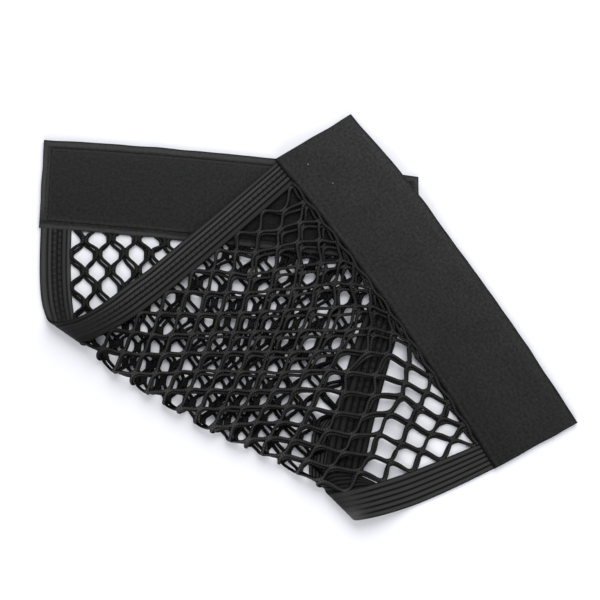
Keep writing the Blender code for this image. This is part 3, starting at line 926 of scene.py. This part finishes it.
netShape = dict(
    columns=11, halfRows=23, firstKnot=7, into=3.0, legSteps=10, knotSteps=3, sides=10,
    cordWidth=2.5, cordThick=1.85, legWidth=0.90, knotWidth=1.14, lift=1.66, plyGap=0.80,
    # below and above the fold: a knot's length, how far apart its cords lie, how a leg bends
    knotLength=(3.2, 2.0), pairing=(0.86, 0.60), bent=(0.95, 0.6),
    sway=0.35, swaySize=21, bow=0.7, bowSize=13, crowding=2.8,
    # how far each ply lies from the middle of both, below and above the fold
    plyOffsets=(((-1.0, 1.1), (-0.2, 0.0)), ((1.1, -1.1), (1.0, -0.4))),
    apart=(4.3, 1.4),  # how far the inner ply has slid where the upper layer covers it
    # how light legs and knots are; how dark the open lower layer is, and the painted shade where the
    # upper layer covers it; how much darker the upper cords are with only the floor beneath
    legLight=0.86, knotLight=1.14, openShade=0.56, coveredShade=0.34, alone=0.80,
    # a painted highlight on the cords round the fold and how far it reaches, and the painted shade
    # beside the near band
    foldLight=0.42, foldReach=22, bandShade=0.74,
    # the upper cords leave the left strip's shade over awaySpan, and lie in the near band's
    # from bandSpan on along and from bandStart to bandEnd across
    awaySpan=(22, 52), bandSpan=(236, 250), bandStart=(50, 70), bandEnd=(135, 175),
    # the net's edges, gathered along the bands: where each ply's edge cord runs
    edgeCords=(dict(first=19, last=231, along=(264.1, 262.5), light=0.72),
               dict(first=130, last=231, along=(2.3, 4.5), light=0.42)),
    edgeSwing=0.8, edgeRise=(-0.8, 0.7), edgeLift=1.55, edgeStep=1.2,
    # areas where both plies are drawn along or slide across, then where only the inner one is
    pulls=(
        dict(left=20, right=168, start=212, full=262, slide=-9.0, draw=0.0),
        dict(left=150, right=234, start=150, full=205, slide=6.5, draw=0.0),
        dict(left=40, right=226, start=186, full=225, slide=0.0, draw=6.5),
        dict(left=20, right=110, start=0, full=30, slide=0.0, draw=-3.0),
    ),
    innerPulls=(
        dict(left=10, right=170, start=120, full=225, slide=4.0, draw=0.0),
        dict(left=80, right=226, start=222, full=252, slide=1.0, draw=0.0),
    ),
    shiftReach=13,
)

# single knots listed one by one: across, along, and how far each is moved in both ways
knotShifts = np.array((
    # by the near band's left end
    (18.4, 240.7, 0, -4.7), (18.4, 218, 0, -4.5), (18.4, 262, 0, -3), (27.9, 229.4, 0.5, -4.7),
    (27.3, 251.6, 2.7, -5.3), (37.7, 218.4, 0, -3.6), (35.4, 240.4, 1.7, -3.1),
    (34.3, 262.7, -2.2, -1.7), (47.6, 207.7, 1.4, -2.9), (45.8, 230.6, -0.5, -0.8),
    (43.1, 251.8, -1.9, -0.5), (53.3, 242.3, -2, -0.4),
    # along the near band
    (60.3, 252.8, 0, 2), (71.2, 243.6, 2.8, 2.4), (78.1, 253.2, 2.8, 5.3), (97.9, 253.5, 0, 0),
    (110.5, 246, 3, 2.1), (119, 253.8, -2, 1.5), (123.6, 235.9, 0.7, -2), (141, 253.9, 1, 3.5),
    (144, 235.9, 3, 0.9), (135, 224.5, -0.7, -2.8), (167.3, 234.9, -3, -3.5),
    (155.4, 223.8, -2.5, -7), (153.8, 246, 0, 0),
    # in the right part, over the floor
    (217.7, 196.2, -1.7, 3.9), (224.2, 207.4, 0, 0), (217.8, 219.6, -3.6, 0.9),
    (209.7, 208.5, -6.4, 3.9), (209.2, 231.3, -6.8, 2.4), (200.3, 221.3, -7.9, 3.8),
    (224.2, 229.6, 0, 0.9), (218.1, 241.9, -3.1, -0.9), (199.9, 243.4, -4.8, 0.8),
    (190.2, 233.7, -6, 5), (232.6, 195.8, 0, 3.8), (232.6, 218, 0, 0), (232.6, 240.2, 0, -1.5),
    (224.2, 251.5, -0.5, 0.4), (209.6, 252.4, -1.3, 0.4),
    # in the lower layer, by the far band's left end
    (28.9, 6.6, -1, 1.8), (29, 28, -0.8, 2.1), (29, 51, -1, 0.7), (37.5, 16.5, 0.8, -0.5),
    (38, 38, -0.5, 0.5), (46.5, 7, 0, -2.9), (47, 27, -0.5, -0.3), (56.5, 17, -0.7, -3.6),
    (57, 37, -2.2, -0.3), (65, 7, -1.2, -4), (66, 26.5, -2, -0.8), (75, 16.5, -2.9, -5),
    (84, 7, -2, -2.5),
))


def pullBy(rows, across, along):
    slide = draw = 0.0
    for pull in rows:
        wide = (across - pull["left"]) / (pull["right"] - pull["left"])
        deep = (along - pull["start"]) / (pull["full"] - pull["start"])
        if 0 < wide < 1:
            hump = math.sin(math.pi * wide)
            slide += pull["slide"] * hump * ease(deep)
            draw += pull["draw"] * hump * ease(deep if deep < 1 else 2.2 - deep)
    return slide, draw


def knotShift(across, along):
    reach = netShape["shiftReach"]
    away = ((knotShifts[:, 0] - across) ** 2 + (knotShifts[:, 1] - along) ** 2) / reach ** 2
    weight = np.exp(-2 * away)
    return weight @ knotShifts[:, 2:] / (weight.sum() + 0.15)


def netKnots(ply):
    # where every knot of a ply lies on the flat net, by column and row
    shape, run = netShape, layPlan["netRun"]
    first, last = layPlan["stripWidth"], layPlan["bandLength"] - layPlan["stripWidth"]
    halfColumn = (last - first) / shape["columns"] / 2
    halfRow = (run - 1.5 * shape["firstKnot"]) / shape["halfRows"]
    knots = {}
    for row in range(-1, shape["halfRows"] + 2):
        for column in range((row + 1) % 2, 2 * shape["columns"] + 1, 2):
            across = first + column * halfColumn
            along = shape["firstKnot"] + row * halfRow
            share = (across - first) / (last - first)
            held = ease(10 * min(share, 1 - share))
            fade = max(0, min(1, (run - along) / 20, along / 10))
            crowd = 1 - ease(along / (0.4 * run))
            slide, draw = pullBy(shape["pulls"], across, along)
            slide -= shape["crowding"] * math.sin(2 * math.pi * share) * crowd
            above = overShare(across, along)
            if ply:
                moreSlide, moreDraw = pullBy(shape["innerPulls"], across, along)
                x, y, _ = place(np.array(across), np.array(along))
                hidden = coveredShare(x, y - 4, 34) * (1 - above)
                hidden *= 0.8 + 1.6 * noise.noise(Vector((across / 38, along / 38, 71.3)))
                slide += moreSlide + shape["apart"][0] * hidden
                draw += moreDraw + shape["apart"][1] * hidden
            below, over = shape["plyOffsets"][ply]
            slide += blend(below[0], over[0], above)
            draw += blend(below[1], over[1], above)
            seed, size = 11.3 + 20 * ply, shape["swaySize"]
            sway = shape["sway"] * (1 + ply * (1 + above))
            slide += sway * wander(across, along, size, seed)
            draw += sway * wander(across, along, size, seed + 5)
            across, along = across + held * slide, along + fade * draw
            moreSlide, moreDraw = knotShift(across, along)
            nearby = max(0, min(1, (run - along) / 8, (along + 4) / 8))
            knots[column, row] = (across + held * moreSlide, along + nearby * moreDraw)
    return knots


def betweenStrips(across, along):
    # the flat net fitted between the strips' inner edges
    left, right = stripSpan("left", along)[1], stripSpan("right", along)[1]
    loose = layPlan["bandLength"] - 2 * layPlan["stripWidth"]
    return blend(left, right, (across - layPlan["stripWidth"]) / loose)


def cordPath(knots, cord, ply):
    # one cord's flat path: beside its knots in turn, and across between them
    shape = netShape
    lastColumn = 2 * shape["columns"]
    ends = []
    for row in range(-1, shape["halfRows"] + 2):
        column = cord if (cord + row) % 2 == 1 else cord + 1
        x, y = knots[column, row]
        above = overShare(x, y)
        pairing, length, bent = (blend(*shape[name], above)
                                 for name in ("pairing", "knotLength", "bent"))
        side = shape["cordWidth"] * pairing / 2 * (1 if column == cord else -1)
        if column in (0, lastColumn):
            side = 0.3 * side
        ends.append((x + side, y, length / 2, bent))
    across, along, knotted = [], [], []
    for (x0, y0, half0, bent), (x1, y1, half1, _) in zip(ends, ends[1:]):
        knot = np.linspace(-half0, half0, shape["knotSteps"] + 1)[:-1]
        across.extend(x0 + 0 * knot)
        along.extend(y0 + knot)
        knotted.extend(1 + 0 * knot)
        t = np.linspace(0, 1, shape["legSteps"] + 1)[:-1]
        swing = blend(t, ease(t), bent)
        wide, deep = x1 - x0, y1 - y0 - half0 - half1
        length = math.hypot(wide, deep)
        bow = shape["bow"] * wander(x0 + x1, y0 + y1, shape["bowSize"], 41.7 + 9 * ply)
        bow = bow * np.sin(math.pi * t)
        across.extend(x0 + wide * swing + bow * deep / length)
        along.extend(y0 + half0 + deep * t - bow * wide / length)
        knotted.extend(1 - ease(np.minimum(t, 1 - t) * length / 2.4))
    across, along, knotted = np.array(across), np.array(along), np.array(knotted)
    across = betweenStrips(across, along)
    keep = (along > -shape["into"]) & (along < layPlan["netRun"] + shape["into"])
    return across[keep], along[keep], knotted[keep]


def soften(values, rounds=2):
    for _ in range(rounds):
        middle = (values[:-2] + 2 * values[1:-1] + values[2:]) / 4
        values = np.concatenate([values[:1], middle, values[-1:]])
    return values


# the outer edge of the lower right strip: past it the upper cords have only the floor beneath
stripLine = place(np.full(34, layPlan["bandLength"]), np.arange(0, 165.1, 5))
stripLine = stripLine[np.argsort(stripLine[:, 1])]


def pastStrip(x, y):
    return ease((x - np.interp(y, stripLine[:, 1], stripLine[:, 0])) / 6)


def cordLight(across, along, x, y, knotted):
    # knots are light and legs darker; the lower layer is darker, and painted shade darkens it most
    # where the upper layer covers it; painted shade also darkens the upper cords beside the left
    # strip and beside the near band, the upper cords with only the floor beneath are darker, and a
    # painted highlight lightens the cords round the fold
    shape = netShape
    over = overShare(across, along, 5)
    covered = coveredShare(x, y) * (1 - over)
    light = blend(shape["legLight"], shape["knotLight"], knotted)
    light = light * dimmed(shape["openShade"], (1 - over) * (1 - covered))
    light = light * dimmed(shape["coveredShade"], covered)
    light = light * dimmed(shape["alone"], over * pastStrip(x, y))
    besideStrip = (1 - between(across, shape["awaySpan"])) * over
    light = light * dimmed(readTable(stripShape["overLights"]["left"], along)[0], besideStrip)
    turning = overShare(across, along, shape["foldReach"])
    light = light * (1 + shape["foldLight"] * 4 * turning * (1 - turning))
    besideBand = between(along, shape["bandSpan"]) * between(across, shape["bandStart"])
    besideBand = besideBand * (1 - between(across, shape["bandEnd"]))
    return light * dimmed(shape["bandShade"], besideBand)


def netPly(name, ply, material):
    shape, run = netShape, layPlan["netRun"]
    knots = netKnots(ply)
    batch = TubeBatch(shape["sides"])
    first, last = layPlan["stripWidth"], layPlan["bandLength"] - layPlan["stripWidth"]
    for cord in range(2 * shape["columns"]):
        across, along, knotted = cordPath(knots, cord, ply)
        across = soften(across)
        atStrip = ease((np.minimum(across - first, last - across) + 1.0) / 8)
        atBand = ease((np.minimum(along, run - along) + 1.0) / 9)
        free = np.minimum(atStrip, atBand)
        gap = shape["plyGap"] * (0.25 + 0.75 * free) * (1 if ply else -1)
        path, normal = onCloth(across, along, blend(1.0, shape["lift"], free), gap)
        light = cordLight(across, along, path[:, 0], path[:, 1], knotted)
        wide = blend(shape["legWidth"], shape["knotWidth"], knotted)
        thin = blend(0.82, 1, atBand)
        batch.add(path, normal, shape["cordWidth"] * wide, shape["cordThick"] * thin, light)
    for edge in shape["edgeCords"]:
        across = np.arange(edge["first"], edge["last"] + 0.1, shape["edgeStep"])
        turn = (across - first) * shape["columns"] / (last - first)
        swing = np.sin(2 * math.pi * turn + 1.9 * ply)
        along = edge["along"][ply] + shape["edgeSwing"] * swing
        path, normal = onCloth(betweenStrips(across, along), along, shape["edgeLift"],
                               shape["edgeRise"][ply])
        batch.add(path, normal, shape["cordWidth"], shape["cordThick"] * 0.8, edge["light"])
    return batch.piece(name, material)


print("scene: the net's two plies")
plyOuter = netPly("netPlyOuter", 0, netCord)
plyInner = netPly("netPlyInner", 1, netCord)


for piece, nodes, slotName in (
    (bandFar, ["band_far"], "woven_band"),
    (bandNear, ["band_near"], "woven_band"),
    (tapeFar, ["hook_tape_far"], "hook_tape"),
    (tapeNear, ["hook_tape_near"], "hook_tape"),
    (stripLeft, ["elastic_strip_left"], "ribbed_elastic"),
    (stripRight, ["elastic_strip_right"], "ribbed_elastic"),
    (plyOuter, ["net_panel"], "net_cord"),
    (plyInner, ["net_panel"], "net_cord"),
):
    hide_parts(*nodes)


studio = dict(
    floor=3.0, floorDrop=0.0002, floorColour=(0.935, 0.937, 0.975),
    world=0.50, skyColour=(0.91, 0.93, 1.0), lampColour=(1.0, 0.993, 0.97),
    lamps=dict(
        topLight=dict(spot=(0.20, 0.60, 0.74), target=(0, 0.05, 0), size=1.1, power=7.8),
        frontLight=dict(spot=(0.0, -1.05, 0.42), target=(0, -0.20, 0), size=0.8, power=8.0),
    ),
)


def floorMaterial():
    shade = Shade("paleFloor", 0.95, Specular_IOR_Level=0.1)
    spot = shade.add("TexCoord", take="Object")
    cloud = shade.cloud(spot, 1.5, 2.0) - 0.5
    return shade.finish(shade.tint(studio["floorColour"], 1.0 + cloud * 0.004))


def floorPiece():
    half = studio["floor"]
    mesh = bpy.data.meshes.new("paleFloor")
    mesh.from_pydata([(-half, -half, 0), (half, -half, 0), (half, half, 0), (-half, half, 0)],
                     [], [(0, 1, 2, 3)])
    mesh.materials.append(floorMaterial())
    floor = bpy.data.objects.new("paleFloor", mesh)
    bpy.context.collection.objects.link(floor)
    floor.location.z = -studio["floorDrop"]


def areaLight(name, spot, target, size, power):
    lamp = bpy.data.lights.new(name, "AREA")
    lamp.shape = "DISK"
    lamp.size = size
    lamp.energy = power
    lamp.color = studio["lampColour"]
    holder = bpy.data.objects.new(name, lamp)
    holder.location = spot
    holder.rotation_euler = (Vector(target) - Vector(spot)).to_track_quat("-Z", "Y").to_euler()
    bpy.context.collection.objects.link(holder)


print("scene: floor, lights and camera")
floorPiece()
for lampName, lampPlan in studio["lamps"].items():
    areaLight(lampName, **lampPlan)

world = bpy.data.worlds.new("studioWorld")
world.use_nodes = True
world.node_tree.nodes["Background"].inputs["Color"].default_value = (*studio["skyColour"], 1)
world.node_tree.nodes["Background"].inputs["Strength"].default_value = studio["world"]
bpy.context.scene.world = world
bpy.context.scene.view_settings.view_transform = "Standard"

cameraView = dict(elevation=75, distance=914.6, focal=84, sensor=36)
elevation = math.radians(cameraView["elevation"])
target = Vector((-layPlan["centre"][0], -layPlan["centre"][1], 0)) * 0.001
back = Vector((0, -math.cos(elevation), math.sin(elevation)))
lens = bpy.data.cameras.new("photoCamera")
lens.lens = cameraView["focal"]
lens.sensor_width = cameraView["sensor"]
lens.clip_start, lens.clip_end = 0.05, 20
camera = bpy.data.objects.new("photoCamera", lens)
camera.location = target + back * cameraView["distance"] * 0.001
camera.rotation_euler = (math.radians(90) - elevation, 0, 0)
bpy.context.collection.objects.link(camera)
bpy.context.scene.camera = camera
